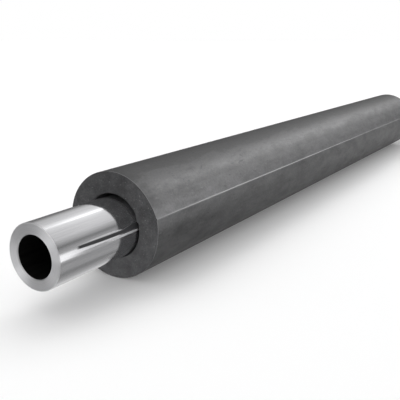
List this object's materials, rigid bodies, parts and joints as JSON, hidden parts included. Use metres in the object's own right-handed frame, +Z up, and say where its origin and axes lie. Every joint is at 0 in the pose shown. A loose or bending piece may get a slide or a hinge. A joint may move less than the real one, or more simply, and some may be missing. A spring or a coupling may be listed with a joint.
{
  "type": "pipe insulation lagging",
  "caption": "Foam pipe lagging tube with a closed lengthwise seam, fitted on a straight thick-walled steel tube that stands out at both ends.",
  "frame": {"origin": "on the ground, under the middle of the lagging", "axes": "+X along the tube, from the near end in the picture to the far end; +Z up; the seam is on the -Y side, a little above the middle"},
  "size_m": [0.482, 0.0462, 0.0459],
  "materials": {
    "foam": "matt dark grey closed-cell foam with a smooth skin and plain cut ends",
    "steel": "bright drawn and polished, with turned ends"
  },
  "bodies": {
    "root": {"foam_lagging": "foam", "steel_pipe": "steel"}
  },
  "joints": []
}
